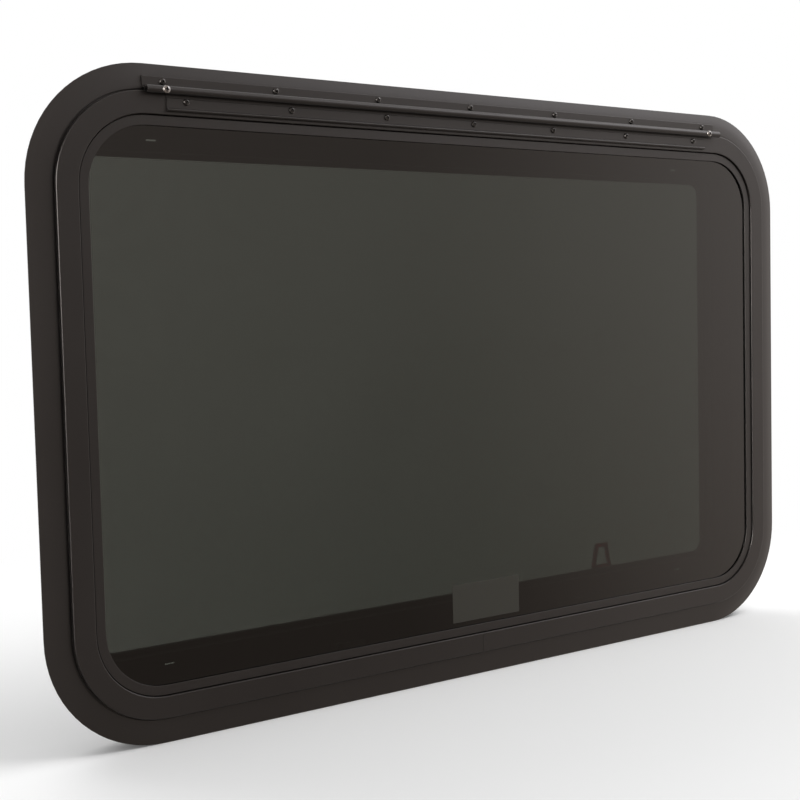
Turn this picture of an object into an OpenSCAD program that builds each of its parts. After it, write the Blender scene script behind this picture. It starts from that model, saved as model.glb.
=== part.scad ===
// Top-hung caravan window with a flanged aluminium frame, a glazed sash on a
// continuous slide-in hinge, an inner clamp trim and an insect screen.
// The profiles are drawn as inset from the flange outline and height in front
// of the wall, and then swept round the rounded outline.

/* [Window outline] */
// Width of the flange outline
window_w = 880; // [700:10:1200]
// Height of the flange outline
window_h = 565; // [480:5:800]
// Radius of the flange outline at its corners
corner_r = 102; // [90:1:140]
// Thickness of the wall that the frame and the trim clamp
wall_t = 34; // [30:1:60]

/* [Outer frame] */
// Width of the flange, from its outer edge to the leg in the wall
flange_w = 26; // [24:1:32]
// Thickness of the flange at its crown
flange_t = 3.2; // [2.8:0.1:4.2]
// Thickness of the flange at its outer edge
flange_edge_t = 0.8; // [0.6:0.1:1.4]
// Width over which the front of the flange curves down to its edge
flange_curve_w = 18.5; // [14:0.5:20]
// Radius of the small edges of the flange and of the hinge leaves
small_edge_r = 0.5; // [0.3:0.1:0.6]
// Width of the low step between the crown and the leg
rebate_w = 4.7; // [4:0.1:6]
// Thickness of the low step
rebate_t = 1.6; // [1.4:0.1:2]
// Thickness of the leg that lines the wall opening
leg_t = 2; // [1.5:0.1:2.5]
// Outside width of the track that takes the trim screws
track_w = 4.5; // [4:0.1:6]
// Depth of the screw track
track_depth = 11.5; // [8:0.5:13]
// Wall of the screw track
track_wall = 1.5; // [1.2:0.1:1.6]
// Depth of the seal stop behind the back of the flange
stop_depth = 16; // [15.5:0.5:20]
// Width of the seal stop
stop_w = 12; // [11:0.5:13]
// Thickness of the seal stop
stop_t = 1.6; // [1.2:0.1:2.4]
// Outside radius of the bulb seal
bulb_r = 2; // [1.6:0.1:2]
// Wall of the bulb seal
bulb_wall = 0.7; // [0.5:0.1:0.9]

/* [Sash] */
// Gap between the flange crown and the outer edge of the sash
sash_gap = 1.4; // [1:0.1:2]
// Width of the sash face
sash_face_w = 18.9; // [17:0.1:22]
// Height of the sash face in front of the wall
sash_face_h = 7.9; // [7.5:0.1:10]
// Wall of the sash extrusion
sash_wall = 1.8; // [1.4:0.1:2.2]
// Height of the return at the outer edge of the sash
sash_return_h = 5.2; // [4:0.1:5.4]
// Width of the hollow tube of the sash
sash_tube_w = 9.5; // [8:0.5:10]
// Depth of the back of the tube behind the flange
sash_depth = 12; // [11:0.5:12]
// Radius of the front edges of the sash
sash_edge_r = 0.8; // [0.4:0.1:1.2]
// Width of the butt seam at the bottom of the sash
seam_w = 0.35; // [0.2:0.05:0.6]
// Depth of the butt seam
seam_depth = 0.9; // [0.4:0.1:1.2]

/* [Glazing] */
// Step from the sash face down to the glazing bead
bead_step = 1.8; // [1.2:0.1:2.4]
// Width of the shadow groove between the sash face and the bead
bead_groove_w = 0.8; // [0.6:0.1:1.2]
// Depth of the shadow groove below the top of the bead
bead_groove_depth = 4.2; // [3:0.1:5]
// Thickness of the glazing bead
bead_t = 1; // [0.8:0.1:1.4]
// Width of the glazing bead
bead_w = 8.9; // [8:0.1:12]
// Thickness of the outer glazing gasket
outer_gasket_t = 0.8; // [0.6:0.1:1.6]
// Thickness of the inner glazing gasket
inner_gasket_t = 1.4; // [1:0.1:2]
// Set-back of the gaskets from the edge of the bead
gasket_setback = 0.3; // [0:0.1:1]
// Thickness of the glass
glass_t = 4; // [3:0.5:5]
// Clearance between the edge of the glass and the heel of the bead
glass_clearance = 0.5; // [0.4:0.1:1.5]

/* [Hinge] */
// Length of the frame half of the hinge
hinge_frame_l = 680; // [480:10:900]
// Length of the sash half of the hinge
hinge_sash_l = 641; // [440:1:860]
// Thickness of the hinge leaves
leaf_t = 1.5; // [1.2:0.1:2]
// Inset of the upper edge of the frame leaf
frame_leaf_inset = 10.4; // [9.8:0.1:12]
// Inset of the hinge axis
hinge_inset = 22.2; // [21.5:0.1:23]
// Height of the hinge axis over the sash face
hinge_rise = 4.1; // [3.9:0.1:5]
// Outside radius of the hinge barrel
barrel_r = 3.5; // [3.2:0.1:3.7]
// Radius of the round bead that turns in the barrel
pivot_r = 1.95; // [1.6:0.05:2.1]
// Running clearance between the pivot and the barrel
pivot_clearance = 0.3; // [0.15:0.05:0.4]
// Angle below the plane of the wall at which the neck leaves the barrel
neck_angle = 58; // [52:1:64]
// Opening angle that the slot of the barrel lets the sash swing
swing_angle = 55; // [40:5:60]
// Thickness of the foot by which the neck joins the sash leaf
neck_foot_t = 0.9; // [0.7:0.1:1.2]
// Inset of the upper edge of the sash leaf
sash_leaf_start = 27.8; // [27:0.1:29]
// Inset of the ridge along the lower edge of the sash leaf
ridge_inset = 37.4; // [35:0.1:38]
// Radius of the ridge
ridge_r = 1.4; // [1:0.1:1.6]

/* [Inner trim] */
// Thickness of the trim plate
trim_t = 2; // [1.5:0.1:3]
// Overlap of the trim on the inner face of the wall
trim_overlap = 12; // [8:1:13]
// Margin between the trim opening and the screen opening
trim_margin = 4; // [2:0.5:6]
// Depth of the turned lip round the trim opening
lip_depth = 9; // [5:0.5:14]
// Thickness of the turned lip
lip_t = 2; // [1.5:0.1:3]
// Length of the daylight slots in the trim
slot_l = 10; // [6:0.5:16]
// Width of the daylight slots
slot_w = 1.6; // [1:0.1:3]
// Inset of the line that the slots follow
slot_inset = 57.3; // [54:0.1:58]
// Distance of each slot from the near corner of the outline
slot_from_corner = 124; // [110:1:150]

/* [Insect screen] */
// Width of the border from the flange outline to the screen opening, at the sides
screen_side_inset = 68.6; // [67:0.1:90]
// Width of the same border at the top and bottom
screen_end_inset = 71; // [70:0.5:90]
// Radius of the corners of the screen opening
screen_r = 12; // [8:1:20]
// Width of the screen rails
rail_w = 10; // [9:0.5:12]
// Depth of the screen rails
rail_t = 8; // [7:0.5:12]
// Width of the rail lip that carries the mesh
rail_lip_w = 3.2; // [2.5:0.1:4]
// Step from the back of the rail down to the mesh
mesh_step = 2; // [1.5:0.1:2.5]
// Width of the groove for the spline
groove_w = 3.4; // [3:0.1:4]
// Depth of the groove for the spline
groove_depth = 4.5; // [4:0.1:5]
// Thickness of the sheet that stands for the woven mesh
mesh_t = 0.5; // [0.3:0.05:0.8]
// Distance of the outer clips from the middle of the window
clip_x = 250; // [180:5:300]

/* [Pull loop] */
// Distance of the loop from the middle of the window
loop_x = 217; // [150:1:260]
// Width of the loop at its foot
loop_foot_w = 28; // [22:1:36]
// Width of the loop at its top
loop_top_w = 17; // [14:1:20]
// Height of the loop above the lower edge of the screen opening
loop_h = 26; // [20:1:40]
// Thickness of the bars of the loop
loop_bar = 4.6; // [3:0.1:5]
// Thickness of the loop
loop_t = 2.6; // [2:0.1:4]

/* [Latches] */
// Distance of the latch shafts from the middle of the window
latch_x = 150; // [120:5:190]
// Inset of the latch shafts
latch_inset = 47; // [46.5:0.1:47.5]
// Radius of the latch shaft
shaft_r = 3.5; // [3:0.1:3.6]
// Width of the latch base
base_w = 17; // [15:1:19]
// Length of the latch base
base_l = 38; // [30:1:50]
// Thickness of the latch base
base_t = 4; // [3:0.5:6]
// Length of the latch lever from its shaft
lever_l = 52; // [40:1:70]
// Width of the latch lever
lever_w = 12; // [10:0.5:14]
// Thickness of the latch lever
lever_t = 5; // [4:0.5:7]
// Width of the cam
cam_w = 7; // [6:0.1:7.2]
// Thickness of the cam
cam_t = 3; // [2:0.5:4]
// Length of the cam from the shaft
cam_l = 28; // [24:1:34]
// Width of the keeper
keeper_w = 12; // [8:1:14]
// Thickness of the keeper plate
keeper_t = 1.5; // [1:0.1:2]
// Clearance of the latch parts from each other
latch_clearance = 0.3; // [0.2:0.05:0.5]

/* [Hidden] */
$fn = 48;
// Extra length that lets a cut pass its face
over = 1;

bronze = [0.17, 0.16, 0.155];
bronze_light = [0.21, 0.2, 0.195];
rubber = [0.05, 0.05, 0.05];

// Height of the window centre over the middle of the bottom flange
centre_z = window_h / 2 - flange_w / 2;

// Insets from the flange outline
crown_inset = flange_w - rebate_w;
leg_inner = flange_w + leg_t;
sash_outer = crown_inset + sash_gap;
sash_inner = sash_outer + sash_face_w;
bead_inner = sash_inner + bead_w;
bead_outer = sash_inner + bead_groove_w;
glass_inset = bead_outer + bead_t + glass_clearance;
gasket_inner = bead_inner - gasket_setback;
flange_rise = flange_t - flange_edge_t;
flange_curve_r = (pow(flange_curve_w, 2) + pow(flange_rise, 2)) / (2 * flange_rise);

// Heights in front of the wall
bead_h = sash_face_h - bead_step;
glass_front = bead_h - bead_t - outer_gasket_t;
glass_back = glass_front - glass_t;
ledge_h = glass_back - inner_gasket_t;
hinge_h = sash_face_h + hinge_rise;
barrel_bore_r = pivot_r + pivot_clearance;

// Depths behind the back of the flange
trim_back = wall_t + trim_t;
rail_front = trim_back + lip_depth;
rail_back = rail_front + rail_t;
mesh_front = rail_back - mesh_step;

// The screen opening and the trim opening
screen_w = window_w - 2 * screen_side_inset;
screen_h = window_h - 2 * screen_end_inset;
trim_open_w = screen_w + 2 * trim_margin;
trim_open_h = screen_h + 2 * trim_margin;
trim_open_r = screen_r + trim_margin;
spline_r = groove_w / 2 - 0.1;

// Turns the drawing plane upright, with its heights pointing out of the wall
module upright() {
    translate([0, 0, centre_z]) rotate([90, 0, 0]) children();
}

// A straight run of a profile along one side: 0 bottom, 1 right, 2 top, 3 left
module side_run(side, w, h, r) {
    across = side % 2 == 0 ? h : w;
    along = (side % 2 == 0 ? w : h) - 2 * r;
    rotate(90 * side) translate([-along / 2, -across / 2, 0])
        rotate([90, 0, 90]) linear_extrude(along) children();
}

// The bend of a profile after the given side
module corner_bend(side, w, h, r) {
    across = side % 2 == 0 ? h : w;
    along = (side % 2 == 0 ? w : h) - 2 * r;
    rotate(90 * side) translate([along / 2, r - across / 2, 0]) rotate(-90)
        rotate_extrude(angle = 90) translate([r, 0]) mirror([1, 0]) children();
}

// A profile swept all round a rounded outline
module swept(w = window_w, h = window_h, r = corner_r) {
    for (side = [0:3]) {
        side_run(side, w, h, r) children();
        corner_bend(side, w, h, r) children();
    }
}

// A rectangle between two insets and two heights
module bar(inset_a, inset_b, low, high) {
    translate([inset_a, low]) square([inset_b - inset_a, high - low]);
}

// A plate with round corners, from one height to another
module plate(w, h, r, low, high) {
    translate([0, 0, low]) linear_extrude(high - low) {
        square([w, h - 2 * r], center = true);
        square([w - 2 * r, h], center = true);
        for (x = [-1, 1], y = [-1, 1]) translate([x * (w / 2 - r), y * (h / 2 - r)]) circle(r);
    }
}

// A bar whose front edges are rounded
module eased_bar(inset_a, inset_b, low, high, edge_r) {
    bar(inset_a, inset_b, low, high - edge_r);
    bar(inset_a + edge_r, inset_b - edge_r, low, high);
    for (inset = [inset_a + edge_r, inset_b - edge_r]) translate([inset, high - edge_r]) circle(edge_r);
}

module flange_section() {
    difference() {
        eased_bar(0, crown_inset, 0, flange_t, small_edge_r);
        difference() {
            bar(-over, flange_curve_w, 0, flange_t + over);
            translate([flange_curve_w, flange_t - flange_curve_r]) circle(flange_curve_r, $fn = 360);
        }
    }
}

module outer_frame_section() {
    flange_section();
    bar(crown_inset, leg_inner, 0, rebate_t);
    bar(flange_w, leg_inner, -wall_t, 0);
    bar(leg_inner, leg_inner + track_w, track_depth - wall_t, track_depth + track_wall - wall_t);
    bar(leg_inner + track_w - track_wall, leg_inner + track_w, -wall_t, track_depth - wall_t);
    bar(leg_inner, leg_inner + stop_w, -stop_depth - stop_t, -stop_depth);
}

module outer_frame() {
    color(bronze) upright() swept() outer_frame_section();
}

module sash_seal_section() {
    middle = leg_inner + stop_w - 2 * bulb_r;
    difference() {
        union() {
            translate([middle, bulb_r - stop_depth]) circle(bulb_r);
            bar(middle - 2 * bulb_r, middle + bulb_r + over, -stop_depth, bulb_wall - stop_depth);
        }
        translate([middle, bulb_r - stop_depth]) circle(bulb_r - bulb_wall);
    }
}

module sash_seal() {
    color(rubber) upright() swept() sash_seal_section();
}

// The aluminium of the sash: face, outer return, hollow tube and glass ledge
module sash_section() {
    tube_outer = sash_inner - sash_tube_w;
    difference() {
        union() {
            eased_bar(sash_outer, sash_inner, sash_face_h - sash_wall, sash_face_h, sash_edge_r);
            bar(sash_outer, sash_outer + sash_wall, sash_face_h - sash_return_h, sash_face_h - sash_edge_r);
            bar(tube_outer, sash_inner, -sash_depth, sash_face_h - sash_wall);
            bar(sash_inner, bead_inner, ledge_h - sash_wall, ledge_h);
        }
        bar(tube_outer + sash_wall, sash_inner - sash_wall, sash_wall - sash_depth, sash_face_h - sash_wall);
    }
}

module sash_frame() {
    color(bronze) upright() difference() {
        swept() sash_section();
        translate([-seam_w / 2, sash_outer - over - window_h / 2, sash_face_h - seam_depth])
            cube([seam_w, sash_face_w + 2 * over, seam_depth + over]);
    }
}

// The bead: a cover over the gasket, a heel beside the glass and a toe on the sash
module glazing_bead_section() {
    toe_h = bead_h - bead_groove_depth;
    eased_bar(bead_outer, bead_inner, bead_h - bead_t, bead_h, bead_t / 3);
    bar(bead_outer, bead_outer + bead_t, toe_h - bead_t, bead_h - bead_t / 2);
    bar(sash_inner, bead_outer + bead_t, toe_h - bead_t, toe_h);
}

module glazing_bead() {
    color(bronze) upright() swept() glazing_bead_section();
}

module outer_glazing_gasket() {
    color(rubber) upright() swept() bar(glass_inset, gasket_inner, glass_front, glass_front + outer_gasket_t);
}

module inner_glazing_gasket() {
    color(rubber) upright() swept() bar(glass_inset, gasket_inner, ledge_h, glass_back);
}

module glass_pane() {
    color([0.2, 0.22, 0.2, 0.6]) upright()
        plate(window_w - 2 * glass_inset, window_h - 2 * glass_inset, corner_r - glass_inset,
            glass_back, glass_front);
}

// The frame half of the hinge: a leaf, a riser and the slotted barrel
module hinge_frame_section() {
    riser_inset = hinge_inset - barrel_r;
    difference() {
        union() {
            difference() {
                eased_bar(frame_leaf_inset, riser_inset + leaf_t, flange_edge_t, flange_t + leaf_t, small_edge_r);
                flange_section();
            }
            bar(riser_inset, riser_inset + leaf_t, flange_t, hinge_h);
            translate([hinge_inset, hinge_h]) circle(barrel_r);
        }
        translate([hinge_inset, hinge_h]) {
            circle(barrel_bore_r);
            neck_slot();
        }
    }
}

// The opening in the barrel through which the neck swings
module neck_slot() {
    reach = 2 * barrel_r;
    margin = asin((leaf_t / 2 + pivot_clearance) / barrel_bore_r);
    low = -neck_angle - margin;
    high = swing_angle - neck_angle + margin;
    polygon([
        [0, 0],
        for (step = [0:6]) reach * [cos(low + (high - low) * step / 6), sin(low + (high - low) * step / 6)]
    ]);
}

module hinge_frame_leaf() {
    color(bronze_light) upright() translate([-hinge_frame_l / 2, window_h / 2, 0])
        mirror([0, 1, 0]) rotate([90, 0, 90]) linear_extrude(hinge_frame_l) hinge_frame_section();
}

// The sash half of the hinge: a leaf on the sash face, a neck and the round pivot
module hinge_sash_section() {
    neck_l = (hinge_rise - neck_foot_t / 2) / sin(neck_angle);
    neck_end = hinge_inset + neck_l * cos(neck_angle) - leaf_t / 2;
    translate([hinge_inset, hinge_h]) circle(pivot_r);
    bar(neck_end, ridge_inset, sash_face_h, sash_face_h + neck_foot_t);
    eased_bar(sash_leaf_start, ridge_inset + small_edge_r, sash_face_h, sash_face_h + leaf_t, small_edge_r);
    translate([ridge_inset, sash_face_h + ridge_r]) circle(ridge_r);
    bar(ridge_inset, ridge_inset + ridge_r, sash_face_h, sash_face_h + ridge_r);
    difference() {
        translate([hinge_inset, hinge_h]) rotate(-neck_angle) translate([0, -leaf_t / 2])
            square([neck_l + leaf_t, leaf_t]);
        bar(sash_outer, ridge_inset, 0, sash_face_h);
    }
}

module hinge_sash_leaf() {
    color(bronze_light) upright() translate([-hinge_sash_l / 2, window_h / 2, 0])
        mirror([0, 1, 0]) rotate([90, 0, 90]) linear_extrude(hinge_sash_l) hinge_sash_section();
}

module daylight_slots() {
    for (x = [-1, 1], y = [-1, 1]) {
        translate([x * (window_w / 2 - slot_from_corner), y * (window_h / 2 - slot_inset), 0])
            cube([slot_l, slot_w, 3 * trim_t], center = true);
        translate([x * (window_w / 2 - slot_inset), y * (window_h / 2 - slot_from_corner), 0])
            cube([slot_w, slot_l, 3 * trim_t], center = true);
    }
}

// The clamp trim: a flat plate on the wall with a turned lip round its opening
module inner_trim() {
    edge = flange_w - trim_overlap;
    color(bronze) upright() difference() {
        union() {
            plate(window_w - 2 * edge, window_h - 2 * edge, corner_r - edge, -trim_back, -wall_t);
            plate(trim_open_w + 2 * lip_t, trim_open_h + 2 * lip_t, trim_open_r + lip_t, -rail_front, -wall_t);
        }
        plate(trim_open_w, trim_open_h, trim_open_r, -rail_front - over, over - wall_t);
        translate([0, 0, -wall_t - trim_t / 2]) daylight_slots();
        for (x = [-1, 1]) translate([x * latch_x, latch_inset - window_h / 2, -trim_back - over])
            cylinder(r = shaft_r + latch_clearance, h = trim_t + 2 * over);
    }
}

// The rail of the screen, drawn outwards from the screen opening
module rail_section() {
    difference() {
        bar(-rail_w, 0, -rail_back, -rail_front);
        bar(-rail_lip_w - groove_w, -rail_lip_w, -rail_back - over, groove_depth - rail_back);
        bar(-rail_lip_w - over, over, -rail_back - over, -mesh_front);
    }
}

module screen_rail(side) {
    color(bronze) upright() side_run(side, screen_w, screen_h, screen_r) rail_section();
}

module screen_corners() {
    color(bronze_light) upright() for (side = [0:3])
        corner_bend(side, screen_w, screen_h, screen_r) rail_section();
}

module screen_spline() {
    color(rubber) upright() swept(screen_w, screen_h, screen_r)
        translate([-rail_lip_w - groove_w / 2, groove_depth - rail_back - spline_r]) circle(spline_r);
}

// The woven mesh, simplified to a thin flat sheet
module screen_mesh() {
    color([0.35, 0.36, 0.33]) upright()
        plate(screen_w + 2 * rail_lip_w, screen_h + 2 * rail_lip_w, screen_r + rail_lip_w,
            -mesh_front - mesh_t, -mesh_front);
}

// One turn clip: a post beside the rail and a tab that laps over it
module turn_clip() {
    post_r = 3;
    tab_l = 12;
    tab_t = 1.6;
    translate([0, -post_r - latch_clearance, -rail_back - tab_t])
        cylinder(r = post_r, h = rail_t + lip_depth + tab_t);
    translate([-post_r, -post_r - latch_clearance, -rail_back - tab_t])
        cube([2 * post_r, tab_l - post_r, tab_t]);
}

module screen_clips() {
    color(bronze_light) upright() {
        for (turn = [0, 180], x = [-1, 0, 1]) rotate(turn)
            translate([x * clip_x, -screen_h / 2 - rail_w, 0]) turn_clip();
        for (turn = [90, 270]) rotate(turn) translate([0, -screen_w / 2 - rail_w, 0]) turn_clip();
    }
}

// The loop stands on a foot that is fixed to the back of the bottom rail
module pull_loop() {
    slope = (loop_foot_w - loop_top_w) / 2 / loop_h;
    foot_h = rail_w - rail_lip_w;
    inner_foot = loop_foot_w / 2 - loop_bar;
    inner_top = loop_top_w / 2 - loop_bar;
    color([0.45, 0.12, 0.1]) upright()
        translate([loop_x, -screen_h / 2, -rail_back - loop_t]) linear_extrude(loop_t) {
            difference() {
                polygon([
                    [-loop_foot_w / 2, 0], [loop_foot_w / 2, 0],
                    [loop_top_w / 2, loop_h], [-loop_top_w / 2, loop_h]
                ]);
                polygon([
                    [-inner_foot, loop_bar / 2], [inner_foot, loop_bar / 2],
                    [inner_top + slope * loop_bar, loop_h - loop_bar],
                    [-inner_top - slope * loop_bar, loop_h - loop_bar]
                ]);
            }
            translate([-loop_foot_w / 2, -rail_w]) square([loop_foot_w, rail_w]);
        }
}

// Puts a latch part, drawn for the right side, at the left or right shaft
module at_latch(hand) {
    color(rubber) upright() mirror([hand < 0 ? 1 : 0, 0, 0])
        translate([latch_x, latch_inset - window_h / 2, 0]) children();
}

module latch_base(hand) {
    at_latch(hand) difference() {
        plate(base_l, base_w, base_w / 2 - 0.1, -trim_back - base_t, -trim_back);
        translate([0, 0, -trim_back - base_t - over])
            cylinder(r = shaft_r + latch_clearance, h = base_t + 2 * over);
    }
}

module latch_handle(hand) {
    lever_front = trim_back + base_t + latch_clearance;
    cam_back = sash_depth + 3 * cam_t;
    at_latch(hand) {
        translate([0, 0, -lever_front - lever_t]) {
            cylinder(r = shaft_r, h = lever_front + lever_t - cam_back + cam_t);
            cylinder(r = lever_w / 2 + over, h = lever_t);
            translate([0, -lever_w / 2, 0]) cube([lever_l - lever_w / 2, lever_w, lever_t]);
            translate([lever_l - lever_w / 2, 0, 0]) cylinder(r = lever_w / 2, h = lever_t);
        }
    }
}

module latch_cam(hand) {
    cam_back = sash_depth + 3 * cam_t;
    at_latch(hand) difference() {
        translate([0, 0, -cam_back]) {
            cylinder(r = shaft_r + cam_t / 2, h = cam_t);
            translate([-cam_l, -cam_w / 2, 0]) cube([cam_l, cam_w, cam_t]);
        }
        translate([0, 0, -cam_back - over]) cylinder(r = shaft_r + 0.05, h = cam_t + 2 * over);
    }
}

// The keeper: a foot on the glass ledge, a riser and a hook behind the cam
module latch_keeper(hand) {
    hook_front = sash_depth + 3 * cam_t + latch_clearance;
    shelf = ledge_h - sash_wall;
    base_y = sash_inner - latch_inset;
    at_latch(hand) translate([-cam_l + over, 0, 0]) rotate([90, 0, 90]) linear_extrude(keeper_w) {
        translate([base_y, shelf - keeper_t]) square([bead_w - over, keeper_t]);
        translate([base_y, -hook_front - keeper_t]) square([keeper_t, shelf + hook_front + keeper_t]);
        translate([base_y, -hook_front - keeper_t]) square([bead_w - 2 * over, keeper_t]);
    }
}

outer_frame();
sash_seal();
hinge_frame_leaf();
hinge_sash_leaf();
sash_frame();
glazing_bead();
outer_glazing_gasket();
inner_glazing_gasket();
glass_pane();
inner_trim();
screen_rail(0);  // screen_rail_bottom
screen_rail(1);  // screen_rail_right
screen_rail(2);  // screen_rail_top
screen_rail(3);  // screen_rail_left
screen_corners();
screen_spline();
screen_mesh();
screen_clips();
pull_loop();
latch_base(-1);  // latch_base_left
latch_base(1);  // latch_base_right
latch_handle(-1);  // latch_handle_left
latch_handle(1);  // latch_handle_right
latch_cam(-1);  // latch_cam_left
latch_cam(1);  // latch_cam_right
latch_keeper(-1);  // latch_keeper_left
latch_keeper(1);  // latch_keeper_right
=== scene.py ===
import math

import bmesh
import bpy
from mathutils import Matrix, Vector


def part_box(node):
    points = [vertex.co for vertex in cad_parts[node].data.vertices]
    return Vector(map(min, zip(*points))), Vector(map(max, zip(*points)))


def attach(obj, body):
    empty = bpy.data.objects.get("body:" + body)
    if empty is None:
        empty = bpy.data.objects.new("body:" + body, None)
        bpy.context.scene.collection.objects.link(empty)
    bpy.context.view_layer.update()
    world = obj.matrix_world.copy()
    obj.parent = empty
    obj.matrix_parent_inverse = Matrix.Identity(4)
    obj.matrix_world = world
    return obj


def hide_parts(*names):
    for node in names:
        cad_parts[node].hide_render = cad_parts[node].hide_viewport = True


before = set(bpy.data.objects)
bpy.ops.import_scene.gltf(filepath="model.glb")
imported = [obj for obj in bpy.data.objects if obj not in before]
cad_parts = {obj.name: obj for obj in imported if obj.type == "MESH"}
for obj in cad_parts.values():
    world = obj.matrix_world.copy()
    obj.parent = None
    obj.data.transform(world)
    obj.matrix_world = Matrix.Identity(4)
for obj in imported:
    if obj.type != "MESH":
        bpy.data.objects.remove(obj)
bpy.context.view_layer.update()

# Outer frame: the flange that lies on the caravan wall, and the leg that lines the
# opening. One aluminium extrusion, bent round the four corners, powder coated satin
# dark bronze, with a faint orange peel and a slightly uneven tone over long lengths.


class Signal:
    """An output in a node tree. An expression on it adds the Math nodes that work it out."""

    def __init__(self, tree, socket=None):
        self.tree = tree
        self.socket = socket

    def node(self, kind, settings=None, inputs=None, output=0):
        """Adds a node: its settings first, then the values or links of its inputs."""
        made = self.tree.nodes.new(kind)
        for key, value in (settings or {}).items():
            setattr(made, key, value)
        for key, value in (inputs or {}).items():
            if isinstance(value, Signal):
                self.tree.links.new(value.socket, made.inputs[key])
            else:
                made.inputs[key].default_value = value
        return Signal(self.tree, made.outputs[output] if len(made.outputs) else None)

    def maths(self, operation, first, second):
        """One Math node."""
        return self.node("ShaderNodeMath", {"operation": operation}, {0: first, 1: second})

    def __add__(self, other):
        return self.maths("ADD", self, other)

    def __radd__(self, other):
        return self.maths("ADD", other, self)

    def __sub__(self, other):
        return self.maths("SUBTRACT", self, other)

    def __rsub__(self, other):
        return self.maths("SUBTRACT", other, self)

    def __mul__(self, other):
        return self.maths("MULTIPLY", self, other)

    def __rmul__(self, other):
        return self.maths("MULTIPLY", other, self)

    def between(self, low, high):
        """0 below low, 1 above high and a soft step from one to the other."""
        return self.node("ShaderNodeMapRange", {"interpolation_type": "SMOOTHSTEP"},
                         {"Value": self, "From Min": low, "From Max": high})

    def noise(self, place, scale, detail=2.0, roughness=0.5):
        """Fractal noise at so many features a metre."""
        return self.node("ShaderNodeTexNoise", {},
                         {"Vector": place, "Scale": scale, "Detail": detail, "Roughness": roughness})

    def blend(self, amount, first, second):
        """A colour between two others."""
        return self.node("ShaderNodeMix", {"data_type": "RGBA"},
                         {0: amount, 6: first, 7: second}, output=2)

    def stretched(self, place, along_x, along_y, along_z):
        """A place, scaled so that a pattern drawn on it has so many features a metre each way."""
        return self.node("ShaderNodeMapping", {},
                         {"Vector": place, "Scale": (along_x, along_y, along_z)})

    def bumped(self, height, distance, strength=1.0):
        """The surface normal, bumped by a height of so many metres."""
        return self.node("ShaderNodeBump", {},
                         {"Height": height, "Distance": distance, "Strength": strength})


def new_finish(name):
    """An empty material, and the Signal that its nodes are added through."""
    material = bpy.data.materials.new(name)
    material.use_nodes = True
    material.node_tree.nodes.clear()
    return material, Signal(material.node_tree)


def shade(finish, constants, varying):
    """Ends a material in one Principled shader."""
    shader = finish.node("ShaderNodeBsdfPrincipled", {}, {**constants, **varying})
    finish.node("ShaderNodeOutputMaterial", {}, {"Surface": shader})


def paint(node, material):
    """Gives a CAD node its finish."""
    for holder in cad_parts[node].material_slots:
        holder.material = material


def powder_coat(name, dark, light, sheen, peel):
    """Powder coat on aluminium: two tones, its roughness, and the depth of its orange peel."""
    material, finish = new_finish(name)
    place = finish.node("ShaderNodeTexCoord", output="Object")
    cloud = finish.noise(place, 7.0, 3.0)
    speck = finish.noise(place, 2600.0, 1.0)
    orange_peel = finish.noise(place, 700.0, 2.0)
    tone = finish.blend((cloud * 0.7 + speck * 0.3).between(0.3, 0.7), (*dark, 1), (*light, 1))
    shade(finish, {"IOR": 1.5}, {
        "Base Color": tone,
        "Roughness": sheen + (cloud - 0.5) * 0.10 + (speck - 0.5) * 0.06,
        "Normal": finish.bumped(orange_peel, peel),
    })
    return material


frame_coat = powder_coat("frame_coat", (0.0150, 0.0134, 0.0129), (0.0195, 0.0176, 0.0170),
                         sheen=0.38, peel=0.00002)
paint("outer_frame", frame_coat)

# Sash seal: a hollow bulb on the stop of the frame, which the closed sash presses
# on. Extruded black rubber, matt, with a trace of grey bloom.


def black_rubber(name, tone, bloom):
    """Extruded rubber, with a trace of grey bloom."""
    material, finish = new_finish(name)
    place = finish.node("ShaderNodeTexCoord", output="Object")
    cloud = finish.noise(place, 24.0, 4.0)
    skin = finish.noise(place, 1500.0, 2.0)
    shade(finish, {"IOR": 1.4, "Specular IOR Level": 0.25}, {
        "Base Color": finish.blend(cloud.between(0.35, 0.75), (*tone, 1), (*bloom, 1)),
        "Roughness": 0.6 + (cloud - 0.5) * 0.2,
        "Normal": finish.bumped(skin, 0.00003),
    })
    return material


seal_rubber = black_rubber("seal_rubber", (0.007, 0.007, 0.007), (0.014, 0.014, 0.013))
paint("sash_seal", seal_rubber)

# Sash: the moving frame that holds the glass. A hollow aluminium extrusion, powder
# coated, with a butt seam at the middle of the bottom. A bead, coated a shade darker,
# clips in over the edge of the glass, which lies between two rubber gaskets.

sash_coat = powder_coat("sash_coat", (0.0135, 0.0119, 0.0115), (0.0180, 0.0160, 0.0155),
                        sheen=0.34, peel=0.00002)
bead_coat = powder_coat("bead_coat", (0.0130, 0.0115, 0.0111), (0.0170, 0.0152, 0.0147),
                        sheen=0.38, peel=0.00002)
paint("sash_frame", sash_coat)
paint("glazing_bead", bead_coat)
gasket_rubber = black_rubber("gasket_rubber", (0.002, 0.002, 0.002), (0.004, 0.004, 0.004))
for gasket in ("outer_glazing_gasket", "inner_glazing_gasket"):
    paint(gasket, gasket_rubber)

# Glass: one pane of toughened safety glass, 4 mm thick, tinted dark grey-green in the
# mass. It lets about a twentieth of the light through, and less at a slant, where the
# way through it is longer. Toughening leaves a very slight roller wave.

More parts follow.
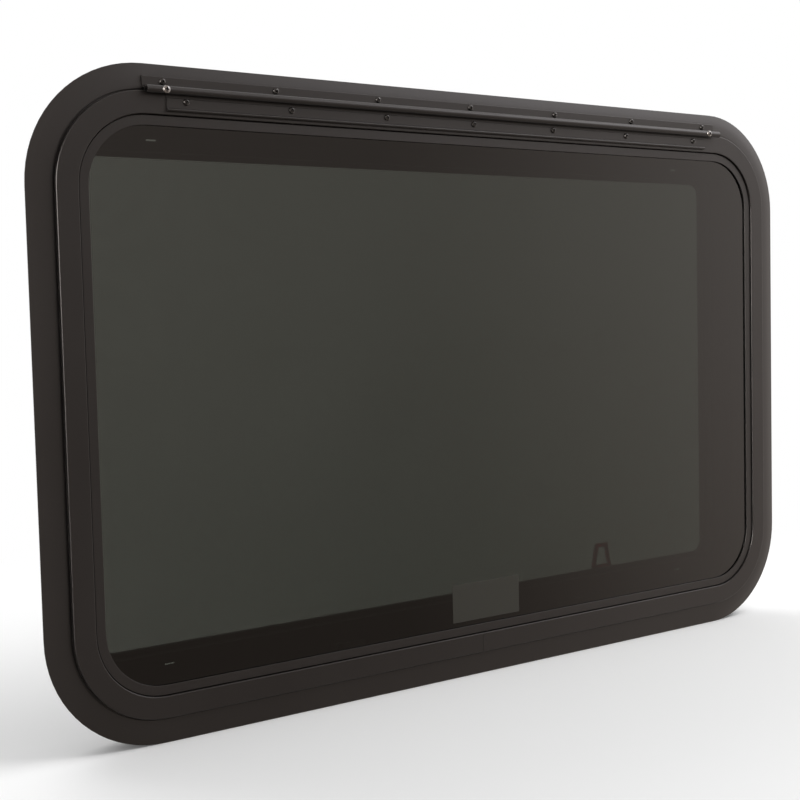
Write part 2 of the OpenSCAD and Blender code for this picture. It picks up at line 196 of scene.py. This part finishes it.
glass_tint, glass = new_finish("glass_tint")
place = glass.node("ShaderNodeTexCoord", output="Object")
wave = glass.noise(glass.stretched(place, 3.0, 3.0, 9.0), 1.0, 1.0)
haze = glass.noise(place, 5.0, 3.0)
slant = glass.node("ShaderNodeLayerWeight", {}, {"Blend": 0.5}, output="Facing")
tint = glass.blend(haze.between(0.3, 0.7), (0.047, 0.052, 0.044, 1), (0.051, 0.056, 0.048, 1))
slant_tint = (0.007, 0.012, 0.008, 1)
shade(glass, {"IOR": 1.52, "Transmission Weight": 1.0}, {
    "Base Color": glass.blend(slant.between(0.0, 0.42), tint, slant_tint),
    "Roughness": haze * 0.004,
    "Normal": glass.bumped(wave, 0.00004),
})
paint("glass_pane", glass_tint)

# Glass label: a small bare label of thin grey film at the bottom middle of the glass,
# stuck on its outer face. Its corners are slightly round and its edges lie flat.

label_left, label_right = -0.0339, 0.0493
label_low, label_high = 0.0422, 0.0792
label_front, label_back = -0.00445, -0.00430
label_corner = 0.0012
label_edge_depth, label_edge_inset = 0.00005, 0.0001
label_layers = (
    (label_back, 0.0),
    (label_front + label_edge_depth, 0.0),
    (label_front, label_edge_inset),
)


def new_object(name, shape):
    """An object made from a bmesh, in the scene."""
    mesh = bpy.data.meshes.new(name)
    shape.to_mesh(mesh)
    shape.free()
    made = bpy.data.objects.new(name, mesh)
    bpy.context.scene.collection.objects.link(made)
    return made


def own_piece(name, shape, material):
    """A finished piece from a bmesh: it rides on the window and takes a finish."""
    piece = new_object(name, shape)
    piece.data.materials.append(material)
    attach(piece, "root")


def join_rings(shape, rings):
    """Faces from each ring of points to the next."""
    for near, far in zip(rings, rings[1:]):
        for index in range(len(near)):
            after = (index + 1) % len(near)
            shape.faces.new((near[index], near[after], far[after], far[index]))


def rounded_outline(left, right, low, high, corner, steps=5):
    """Points round a rectangle with round corners, in x and z, with so many steps a corner."""
    turns = ((right, high, 0), (left, high, 90), (left, low, 180), (right, low, 270))
    points = []
    for x, z, start in turns:
        centre_x = x - corner if x == right else x + corner
        centre_z = z - corner if z == high else z + corner
        for step in range(steps + 1):
            angle = math.radians(start + 90 * step / steps)
            points.append((centre_x + corner * math.cos(angle), centre_z + corner * math.sin(angle)))
    return points


label = bmesh.new()
label_rings = []
for depth, inset in label_layers:
    outline = rounded_outline(label_left + inset, label_right - inset, label_low + inset,
                              label_high - inset, label_corner)
    label_rings.append([label.verts.new((x, depth, z)) for x, z in outline])
join_rings(label, label_rings)
label.faces.new(label_rings[0])
label.faces.new(label_rings[-1])
bmesh.ops.recalc_face_normals(label, faces=label.faces)

label_film, film = new_finish("label_film")
place = film.node("ShaderNodeTexCoord", output="Object")
fibre = film.noise(film.stretched(place, 1.0, 1.0, 3.0), 900.0, 3.0)
shade(film, {"IOR": 1.45}, {
    "Base Color": film.blend(fibre, (0.0395, 0.0405, 0.0340, 1), (0.0445, 0.0455, 0.0390, 1)),
    "Roughness": 0.34 + (fibre - 0.5) * 0.08,
    "Normal": film.bumped(fibre, 0.00001),
})
own_piece("glass_label", label, label_film)

# Hinge: the sash hangs on a continuous hinge, whose sash leaf has a pivot bead that
# slides into the slotted barrel of the frame leaf. Both are aluminium extrusions, cut
# to length after coating, with die lines that run along them.


def extruded_coat(name, dark, light, sheen):
    """Coated extrusion whose fine die lines run along X."""
    material, finish = new_finish(name)
    place = finish.node("ShaderNodeTexCoord", output="Object")
    cloud = finish.noise(place, 12.0, 3.0)
    lines = finish.noise(finish.stretched(place, 4.0, 1800.0, 1800.0), 1.0, 2.0)
    peel = finish.noise(place, 900.0, 2.0)
    shade(finish, {"IOR": 1.5}, {
        "Base Color": finish.blend(cloud.between(0.3, 0.7), (*dark, 1), (*light, 1)),
        "Roughness": sheen + (lines - 0.5) * 0.16,
        "Normal": finish.bumped(lines * 0.6 + peel * 0.4, 0.00002),
    })
    return material


hinge_coat = extruded_coat("hinge_coat", (0.0140, 0.0125, 0.0121), (0.0185, 0.0167, 0.0162),
                           sheen=0.34)
paint("hinge_frame_leaf", hinge_coat)
paint("hinge_sash_leaf", hinge_coat)

# Hinge screws: seven black pan-head screws with a cross recess hold each leaf, and a
# bright stainless screw near each end of the barrel stops the sash leaf from sliding
# out. The heads are turned at random, as a fitter leaves them.


def turned_rings(shape, profile, steps):
    """Rings of points round the Z axis, one for each reach and rise of a profile."""
    rings = []
    for reach, rise in profile:
        ring = []
        for step in range(steps):
            angle = 2 * math.pi * step / steps
            ring.append(shape.verts.new((reach * math.cos(angle), reach * math.sin(angle), rise)))
        rings.append(ring)
    return rings


def cross_cutter(name, reach, height):
    """Two crossed wings, narrower at the foot, that cut the recess into a head of this height."""
    wing_width = reach * 0.62
    wing_height = height * 1.2
    foot_length, foot_width = 0.7, 0.8
    cross = bmesh.new()
    for turn in (0, 90):
        wing = bmesh.ops.create_cube(cross, size=1.0)["verts"]
        bmesh.ops.scale(cross, verts=wing, vec=(reach * 2, wing_width, wing_height))
        bmesh.ops.translate(cross, verts=wing, vec=(0, 0, height))
        for corner in wing:
            if corner.co.z < height:
                corner.co.x *= foot_length
                corner.co.y *= foot_width
        bmesh.ops.rotate(cross, verts=wing, cent=(0, 0, 0),
                         matrix=Matrix.Rotation(math.radians(turn), 3, "Z"))
    return new_object(name, cross)


def baked(piece, modifier):
    """The mesh that a modifier makes of a piece. The modifier is taken off."""
    bpy.context.view_layer.update()
    seen = piece.evaluated_get(bpy.context.evaluated_depsgraph_get())
    mesh = bpy.data.meshes.new_from_object(seen)
    piece.modifiers.remove(modifier)
    return mesh


def screw_head(name, radius, height, recess):
    """A pan head with a cross recess, whose faces a face attribute marks for painted shade. Seat at the
    origin, crown at +Z.
    """
    profile = (
        (radius * 0.94, 0.0),
        (radius, height * 0.18),
        (radius * 0.985, height * 0.42),
        (radius * 0.90, height * 0.68),
        (radius * 0.70, height * 0.88),
        (radius * 0.42, height * 0.98),
    )
    head = bmesh.new()
    rings = turned_rings(head, profile, steps=24)
    crown = head.verts.new((0, 0, height))
    join_rings(head, rings)
    top = rings[-1]
    for near, far in zip(top, top[1:] + top[:1]):
        head.faces.new((near, far, crown))
    head.faces.new(list(reversed(rings[0])))
    blank = new_object(name, head)
    cutter = cross_cutter(name + "_cross", recess, height)
    cut = blank.modifiers.new("cross", "BOOLEAN")
    cut.object = cutter
    cut.solver = "EXACT"
    cut.use_self = True
    blank.data = baked(blank, cut)
    bpy.data.objects.remove(cutter)
    # Marks the faces down in the cross recess, where the screw finishes paint shade.
    recess_top = height * 0.86
    recess_reach = recess * 1.08
    inside = [float(face.center.z < recess_top and face.center.xy.length < recess_reach)
              for face in blank.data.polygons]
    blank.data.attributes.new("recess", "FLOAT", "FACE").data.foreach_set("value", inside)
    return blank


def new_group(name, sockets, result):
    """A Geometry Nodes group with these inputs and one output, and the Signal to add its nodes."""
    tree = bpy.data.node_groups.new(name, "GeometryNodeTree")
    for socket, kind in sockets.items():
        tree.interface.new_socket(socket, in_out="INPUT", socket_type="NodeSocket" + kind)
    tree.interface.new_socket(result, in_out="OUTPUT", socket_type="NodeSocketGeometry")
    return tree, Signal(tree)


def fastener_tree():
    """Geometry Nodes that set one head on every point, facing one way, each turned at random."""
    sockets = {
        "Points": "Geometry", "Head": "Object", "Facing": "Vector", "Seed": "Int", "Finish": "Material",
    }
    tree, group = new_group("fastener_set", sockets, "Heads")
    given = {socket: group.node("NodeGroupInput", output=socket) for socket in sockets}
    head = group.node("GeometryNodeObjectInfo", {}, {"Object": given["Head"]}, output="Geometry")
    spin = group.node("FunctionNodeRandomValue", {"data_type": "FLOAT"},
                      {3: math.tau, "Seed": given["Seed"]}, output=1)
    turn = group.node("ShaderNodeCombineXYZ", {}, {"Z": spin})
    seated = group.node("GeometryNodeInstanceOnPoints", {}, {
        "Points": given["Points"], "Instance": head, "Rotation": given["Facing"],
    })
    spun = group.node("GeometryNodeRotateInstances", {}, {
        "Instances": seated, "Rotation": turn, "Local Space": True,
    })
    real = group.node("GeometryNodeRealizeInstances", {}, {"Geometry": spun})
    coated = group.node("GeometryNodeSetMaterial", {}, {"Geometry": real, "Material": given["Finish"]})
    group.node("NodeGroupOutput", {}, {"Heads": coated})
    return tree


def grown(name, start, tree, inputs, material, stands_for=()):
    """Runs a tree on a start mesh, and keeps what it makes as one plain piece."""
    base = bpy.data.objects.new(name, start)
    bpy.context.scene.collection.objects.link(base)
    growth = base.modifiers.new("growth", "NODES")
    growth.node_group = tree
    for item in tree.interface.items_tree:
        if item.in_out == "INPUT" and item.name in inputs:
            growth[item.identifier] = inputs[item.name]
    base.data = baked(base, growth)
    base.data.materials.clear()
    base.data.materials.append(material)
    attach(base, "root")
    if stands_for:
        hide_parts(*stands_for)


def screws(name, places, head, facing, material, seed):
    """One piece with a head at every place. The seed sets how far each of them is turned."""
    start = bpy.data.meshes.new(name)
    start.from_pydata(places, [], [])
    grown(name, start, fastener_set, {
        "Head": head, "Facing": facing, "Seed": seed, "Finish": material,
    }, material)


fastener_set = fastener_tree()
outwards = (math.radians(90), 0, 0)

black_oxide, oxide = new_finish("black_oxide")
place = oxide.node("ShaderNodeTexCoord", output="Object")
rub = oxide.noise(place, 900.0, 3.0)
# The faces in the cross recess are painted near black, dull and not metallic: painted shade.
recess = oxide.node("ShaderNodeAttribute", {"attribute_name": "recess"}, output="Fac")
worn = oxide.blend(rub.between(0.4, 0.7), (0.035, 0.034, 0.033, 1), (0.13, 0.127, 0.124, 1))
shade(oxide, {"IOR": 1.5}, {
    "Base Color": oxide.blend(recess, worn, (0.002, 0.002, 0.002, 1)),
    "Metallic": 0.7 - 0.7 * recess,
    "Roughness": 0.12 + rub * 0.12 + recess * 0.6,
})

stainless, steel = new_finish("stainless")
place = steel.node("ShaderNodeTexCoord", output="Object")
brush = steel.noise(place, 1400.0, 3.0)
# The faces in the cross recess are painted near black, dull and not metallic: painted shade on the bright
# steel.
recess = steel.node("ShaderNodeAttribute", {"attribute_name": "recess"}, output="Fac")
bright = steel.blend(brush, (0.20, 0.197, 0.193, 1), (0.38, 0.373, 0.366, 1))
shade(steel, {"IOR": 1.5}, {
    "Base Color": steel.blend(recess, bright, (0.004, 0.004, 0.004, 1)),
    "Metallic": 1 - recess,
    "Roughness": 0.14 + brush * 0.14 + recess * 0.6,
})

frame_low, frame_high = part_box("outer_frame")
leaf_head = screw_head("leaf_head", radius=0.00285, height=0.0017, recess=0.0019)
leaf_rows = (
    ("frame_leaf_screws", 0.1073, -0.0047, 0.0144, 11),
    ("sash_leaf_screws", 0.1010, -0.0094, 0.0305, 12),
)
for name, spacing, front, below_top, seed in leaf_rows:
    leaf_places = [(step * spacing, front, frame_high.z - below_top) for step in range(-3, 4)]
    screws(name, leaf_places, leaf_head, outwards, black_oxide, seed)

stop_head = screw_head("stop_head", radius=0.0034, height=0.0021, recess=0.0023)
stop_left, stop_right = -0.3232, 0.3225
stop_front = -0.0145
barrel_z = frame_high.z - 0.0222
stop_places = [(stop_left, stop_front, barrel_z), (stop_right, stop_front, barrel_z)]
screws("stop_screws", stop_places, stop_head, outwards, stainless, seed=13)

# Clamp trim: the plate on the cabin side of the wall, drawn tight to the frame by
# screws. Cut from aluminium sheet, with a lip turned round its opening and slots near
# the corners, and powder coated matt dark brown.

trim_coat = powder_coat("trim_coat", (0.0170, 0.0140, 0.0120), (0.0215, 0.0180, 0.0155),
                        sheen=0.55, peel=0.00003)
paint("inner_trim", trim_coat)

trim_head = screw_head("trim_head", radius=0.0034, height=0.0020, recess=0.0018)
trim_sheet = 0.002
trim_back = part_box("inner_trim")[0].y + trim_sheet
track_inset = 0.0295
frame_corner = 0.102
half_w = (frame_high.x - frame_low.x) / 2
half_h = (frame_high.z - frame_low.z) / 2
middle_z = (frame_high.z + frame_low.z) / 2
trim_columns = (-0.300, -0.180, -0.060, 0.060, 0.180, 0.300)
trim_rows = (-0.150, -0.050, 0.050, 0.150)
corner_reach = (frame_corner - track_inset) * math.sqrt(0.5)
corner_x = half_w - frame_corner + corner_reach
corner_z = half_h - frame_corner + corner_reach
inwards = (math.radians(-90), 0, 0)
trim_places = []
for x in trim_columns:
    for side in (-1, 1):
        trim_places.append((x, trim_back, middle_z + side * (half_h - track_inset)))
for z in trim_rows:
    for side in (-1, 1):
        trim_places.append((side * (half_w - track_inset), trim_back, middle_z + z))
for side in (-1, 1):
    for end in (-1, 1):
        trim_places.append((side * corner_x, trim_back, middle_z + end * corner_z))
screws("trim_screws", trim_places, trim_head, inwards, black_oxide, seed=14)

# Insect screen frame: four straight aluminium rails joined by moulded corner pieces,
# with a groove round the back that the spline presses the mesh into. Eight moulded
# turn clips on shouldered screws hold the screen in the trim.

rail_coat = powder_coat("rail_coat", (0.0175, 0.0148, 0.0128), (0.0215, 0.0185, 0.0162),
                        sheen=0.5, peel=0.00003)
for rail in ("screen_rail_bottom", "screen_rail_right", "screen_rail_top", "screen_rail_left"):
    paint(rail, rail_coat)


def moulded(name, dark, light, sheen, grain):
    """Moulded plastic with a fine spark-eroded texture."""
    material, finish = new_finish(name)
    place = finish.node("ShaderNodeTexCoord", output="Object")
    cloud = finish.noise(place, 30.0, 2.0)
    texture = finish.noise(place, 1900.0, 2.0)
    shade(finish, {"IOR": 1.5}, {
        "Base Color": finish.blend(cloud, (*dark, 1), (*light, 1)),
        "Roughness": sheen + (texture - 0.5) * 0.2,
        "Normal": finish.bumped(texture, grain),
    })
    return material


corner_plastic = moulded("corner_plastic", (0.016, 0.014, 0.0125), (0.021, 0.0185, 0.0165),
                         sheen=0.5, grain=0.00004)
paint("screen_corners", corner_plastic)
paint("screen_clips", corner_plastic)
paint("screen_spline", seal_rubber)

clip_head = screw_head("clip_head", radius=0.0024, height=0.0013, recess=0.0014)
clip_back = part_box("screen_clips")[1].y
clip_columns = (-0.250, 0.0, 0.250)
clip_end_inset = 0.0577
clip_side_inset = 0.0553
clip_places = []
for side in (-1, 1):
    for x in clip_columns:
        clip_places.append((x, clip_back, middle_z + side * (half_h - clip_end_inset)))
    clip_places.append((side * (half_w - clip_side_inset), clip_back, middle_z))
screws("clip_screws", clip_places, clip_head, inwards, stainless, seed=15)

# Insect mesh: woven wire with a dull grey-green coating, about 15 wires to the inch,
# held by the spline. It is drawn as straight upright wires pressed a little into level
# ones behind them, and stands for the thin sheet of the solid model.

mesh_pitch = 0.00174
wire_radius = 0.00017
wire_press = 0.9
mesh_low, mesh_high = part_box("screen_mesh")
mesh_corner = 0.0152
mesh_middle = (mesh_low + mesh_high) / 2
mesh_half_w = (mesh_high.x - mesh_low.x) / 2
mesh_half_h = (mesh_high.z - mesh_low.z) / 2


def wire_reach(offset, half_across, half_along):
    """Half the length of a wire at an offset from the middle, inside the round corners."""
    past = abs(offset) - (half_across - mesh_corner)
    if past <= 0:
        return half_along
    return half_along - mesh_corner + math.sqrt(max(mesh_corner ** 2 - past ** 2, 0))


wire_points = []
wire_reaches = []
wire_leans = []
for level, half_across, half_along in ((0, mesh_half_w, mesh_half_h), (1, mesh_half_h, mesh_half_w)):
    count = int((half_across - wire_radius) / mesh_pitch)
    for index in range(-count, count + 1):
        offset = index * mesh_pitch
        depth = mesh_middle.y + (wire_radius if level else -wire_radius) * wire_press
        if level:
            wire_points.append((mesh_middle.x, depth, mesh_middle.z + offset))
        else:
            wire_points.append((mesh_middle.x + offset, depth, mesh_middle.z))
        wire_reaches.append(wire_reach(offset, half_across, half_along))
        wire_leans.append(level * math.pi / 2)
wires = bpy.data.meshes.new("screen_weave")
wires.from_pydata(wire_points, [], [])
wires.attributes.new("reach", "FLOAT", "POINT").data.foreach_set("value", wire_reaches)
wires.attributes.new("lean", "FLOAT", "POINT").data.foreach_set("value", wire_leans)


def weave_tree():
    """Geometry Nodes that lay a six-sided wire over every point, its reach long each way."""
    sockets = {"Points": "Geometry", "Radius": "Float", "Finish": "Material"}
    tree, group = new_group("weave", sockets, "Wires")
    given = {socket: group.node("NodeGroupInput", output=socket) for socket in sockets}
    wire = group.node("GeometryNodeMeshCylinder", {},
                      {"Vertices": 6, "Radius": given["Radius"], "Depth": 2.0}, output="Mesh")
    stored = ("GeometryNodeInputNamedAttribute", {"data_type": "FLOAT"})
    reach = group.node(*stored, {"Name": "reach"}, output="Attribute")
    lean = group.node(*stored, {"Name": "lean"}, output="Attribute")
    size = group.node("ShaderNodeCombineXYZ", {}, {"X": 1.0, "Y": 1.0, "Z": reach})
    turn = group.node("ShaderNodeCombineXYZ", {}, {"Y": lean})
    laid = group.node("GeometryNodeInstanceOnPoints", {}, {
        "Points": given["Points"], "Instance": wire, "Rotation": turn, "Scale": size,
    })
    real = group.node("GeometryNodeRealizeInstances", {}, {"Geometry": laid})
    coated = group.node("GeometryNodeSetMaterial", {}, {"Geometry": real, "Material": given["Finish"]})
    group.node("NodeGroupOutput", {}, {"Wires": coated})
    return tree


mesh_wire, wire_coat = new_finish("mesh_wire")
place = wire_coat.node("ShaderNodeTexCoord", output="Object")
patch = wire_coat.noise(place, 40.0, 4.0)
crossing = wire_coat.noise(place, 1150.0, 1.0)
shade(wire_coat, {"IOR": 1.5}, {
    "Base Color": wire_coat.blend(patch, (0.10, 0.105, 0.088, 1), (0.15, 0.155, 0.135, 1)),
    "Roughness": 0.42 + (crossing - 0.5) * 0.2,
    "Normal": wire_coat.bumped(crossing, 0.00003),
})
grown("screen_weave", wires, weave_tree(), {"Radius": wire_radius, "Finish": mesh_wire},
      mesh_wire, ("screen_mesh",))

# Pull loop: a small loop that a finger pulls to take out the screen. Moulded in red
# plastic, with its foot held on the back of the bottom rail by two rivets.

red_plastic, red = new_finish("red_plastic")
place = red.node("ShaderNodeTexCoord", output="Object")
cloud = red.noise(place, 60.0, 2.0)
skin = red.noise(place, 1500.0, 2.0)
shade(red, {"IOR": 1.5, "Transmission Weight": 0.6}, {
    "Base Color": red.blend(cloud, (0.66, 0.045, 0.06, 1), (0.74, 0.06, 0.07, 1)),
    "Roughness": 0.3 + (skin - 0.5) * 0.15,
    "Normal": red.bumped(skin, 0.00002),
})
paint("pull_loop", red_plastic)

loop_low, loop_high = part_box("pull_loop")
loop_x = (loop_low.x + loop_high.x) / 2
rivet_inset = 0.005
rivet_half_apart = 0.009
rivet_profile = ((0.0020, 0.0), (0.0020, 0.0002), (0.0017, 0.0006), (0.0011, 0.0009))
rivet_shape = bmesh.new()
rivet_rings = turned_rings(rivet_shape, rivet_profile, steps=16)
join_rings(rivet_shape, rivet_rings)
rivet_shape.faces.new(rivet_rings[-1])
rivet_shape.faces.new(list(reversed(rivet_rings[0])))
rivet = new_object("rivet_head", rivet_shape)
rivet_places = [(loop_x + side * rivet_half_apart, loop_high.y, loop_low.z + rivet_inset)
                for side in (-1, 1)]
screws("loop_rivets", rivet_places, rivet, inwards, stainless, seed=16)

# Latches: two cam latches at the bottom of the cabin side, each a base on the trim, a
# lever on its shaft, a cam behind the sash and a keeper on the sash. The levers and
# bases are moulded black, the cams and keepers zinc-plated steel.

lever_plastic = moulded("lever_plastic", (0.014, 0.014, 0.014), (0.019, 0.019, 0.019),
                        sheen=0.42, grain=0.00003)
zinc, plate = new_finish("zinc")
place = plate.node("ShaderNodeTexCoord", output="Object")
spangle = plate.noise(place, 300.0, 4.0)
shade(plate, {"Metallic": 1.0}, {
    "Base Color": plate.blend(spangle, (0.42, 0.42, 0.41, 1), (0.60, 0.60, 0.58, 1)),
    "Roughness": 0.30 + spangle * 0.2,
})
for hand in ("left", "right"):
    paint("latch_base_" + hand, lever_plastic)
    paint("latch_handle_" + hand, lever_plastic)
    paint("latch_cam_" + hand, zinc)
    paint("latch_keeper_" + hand, zinc)

base_low, base_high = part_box("latch_base_right")
latch_screw_inset = 0.0055
latch_screw_x = base_low.x + latch_screw_inset
base_z = (base_low.z + base_high.z) / 2
latch_places = [(side * latch_screw_x, base_high.y, base_z) for side in (-1, 1)]
screws("latch_screws", latch_places, clip_head, inwards, black_oxide, seed=17)

for pattern in (leaf_head, stop_head, trim_head, clip_head, rivet):
    bpy.data.objects.remove(pattern)

# Studio: a plain white floor and backdrop, a soft light overhead and a weaker one
# behind. Coat and glass mirror a room that is bright at the right, with a skylight
# there, and dark and warm at the left, but for a window far round to that side.

floor_reach = 12.0
floor_shape = bmesh.new()
bmesh.ops.create_grid(floor_shape, x_segments=1, y_segments=1, size=floor_reach)
bmesh.ops.translate(floor_shape, verts=floor_shape.verts, vec=(0, 0, frame_low.z))
floor = new_object("floor", floor_shape)


def room_light(tree, heading):
    """The colour that the room in front of the window has towards a heading."""

    def scaled(colour, amount):
        return tree.node("ShaderNodeVectorMath", {"operation": "SCALE"}, {"Vector": colour, "Scale": amount})

    def together(first, second):
        return tree.node("ShaderNodeVectorMath", {"operation": "ADD"}, {0: first, 1: second})

    across = tree.node("ShaderNodeSeparateXYZ", {}, {"Vector": heading}, output="X")
    ahead = tree.node("ShaderNodeSeparateXYZ", {}, {"Vector": heading}, output="Y")
    rise = tree.node("ShaderNodeSeparateXYZ", {}, {"Vector": heading}, output="Z")
    right = across.between(0.55, 0.85)
    left = 1 - across.between(0.15, 0.40)
    upper = rise.between(-0.25, 0.15)
    above_floor = rise.between(-0.55, -0.25)
    off_floor = rise.between(-0.95, -0.6)
    paint_tone = tree.blend(right * 0.6 + upper * 0.4, (1, 0.82, 0.70, 1), (1, 0.91, 0.86, 1))
    lit = 0.36 - 0.08 * above_floor + 0.08 * left + 0.27 * upper
    lit = lit + 0.72 * right * (0.5 + 0.5 * above_floor)
    wall = scaled(paint_tone, lit * (0.4 + 0.6 * off_floor))
    skylight = rise.between(0.14, 0.42) * (1 - rise.between(0.62, 0.85)) * across.between(0.46, 0.60)
    skylight = skylight * (1 - 0.25 * across.between(0.64, 0.76))
    side_window = (0 - across).between(0.5, 0.8) * rise.between(-0.08, 0.13) * (1 - rise.between(0.3, 0.5))
    panes = together(scaled((0.96, 0.95, 1.0), 2.6 * skylight), scaled((1.0, 0.93, 0.88), 18.0 * side_window))
    return tree.blend(ahead.between(-0.2, 0.2), together(wall, panes), (1.15, 1.13, 1.12, 1))


def on_camera(tree):
    """1 for what the camera sees, straight or through the glass, and 0 for other light."""
    return tree.maths("MAXIMUM", tree.node("ShaderNodeLightPath", output="Is Camera Ray"),
                      tree.node("ShaderNodeLightPath", output="Is Transmission Ray"))


floor_white, ground = new_finish("floor_white")
place = ground.node("ShaderNodeTexCoord", output="Object")
away = ground.node("ShaderNodeVectorMath", {"operation": "LENGTH"}, {0: place}, output="Value")
mirrored = ground.node("ShaderNodeLightPath", output="Is Glossy Ray")
shown = on_camera(ground)
glow = away.between(0.45, 0.95) * shown
tone = ground.blend(shown, (0.15, 0.14, 0.13, 1), (0.88, 0.88, 0.88, 1))
shade(ground, {"Roughness": 0.9, "Specular IOR Level": 0.0, "Emission Strength": 1.0}, {
    "Base Color": ground.blend(glow, tone, (0, 0, 0, 1)),
    "Emission Color": ground.blend(glow, (0, 0, 0, 1), (1, 1, 1, 1)),
    "Alpha": 1 - mirrored,
})
floor.data.materials.append(floor_white)


def soft_light(name, place, aim, width, height, power):
    """A flat softbox that faces a point."""
    lamp = bpy.data.lights.new(name, "AREA")
    lamp.shape = "RECTANGLE"
    lamp.size = width
    lamp.size_y = height
    lamp.energy = power
    made = bpy.data.objects.new(name, lamp)
    made.location = place
    made.rotation_euler = (Vector(aim) - Vector(place)).to_track_quat("-Z", "Y").to_euler()
    made.visible_glossy = False
    bpy.context.scene.collection.objects.link(made)


window_middle = (0, 0, 0.27)
soft_light("overhead", (1.0, -0.8, 2.0), window_middle, width=1.8, height=1.4, power=32)
soft_light("cabin_side", (-0.4, 1.4, 1.9), window_middle, width=2.0, height=1.4, power=20)

room = bpy.data.worlds.new("room")
room.use_nodes = True
room.node_tree.nodes.clear()
sky = Signal(room.node_tree)
heading = sky.node("ShaderNodeTexCoord", output="Generated")
mirrored = sky.node("ShaderNodeLightPath", output="Is Glossy Ray")
plain = sky.blend(on_camera(sky), (0.6, 0.6, 0.6, 1), (1, 1, 1, 1))
light = sky.node("ShaderNodeBackground", {}, {
    "Color": sky.blend(mirrored, plain, room_light(sky, heading)), "Strength": 1.0,
})
sky.node("ShaderNodeOutputWorld", {}, {"Surface": light})
bpy.context.scene.world = room
bpy.context.scene.view_settings.view_transform = "Standard"

# Camera: the photograph's view, from the left and a little above the middle of the
# window, 1.3 m away, with a slight roll.

camera_place = (-0.81635, -1.03221, 0.34526)
yaw, pitch, roll = math.radians(-35.2265), math.radians(-3.7645), math.radians(1.3765)
lens = bpy.data.cameras.new("camera")
lens.sensor_width = 36.0
lens.lens = 60.858
camera = bpy.data.objects.new("camera", lens)
turned = (Matrix.Rotation(yaw, 4, "Z") @ Matrix.Rotation(pitch, 4, "X") @ Matrix.Rotation(roll, 4, "Y")
          @ Matrix.Rotation(math.radians(90), 4, "X"))
camera.matrix_world = Matrix.Translation(camera_place) @ turned
bpy.context.scene.collection.objects.link(camera)
bpy.context.scene.camera = camera
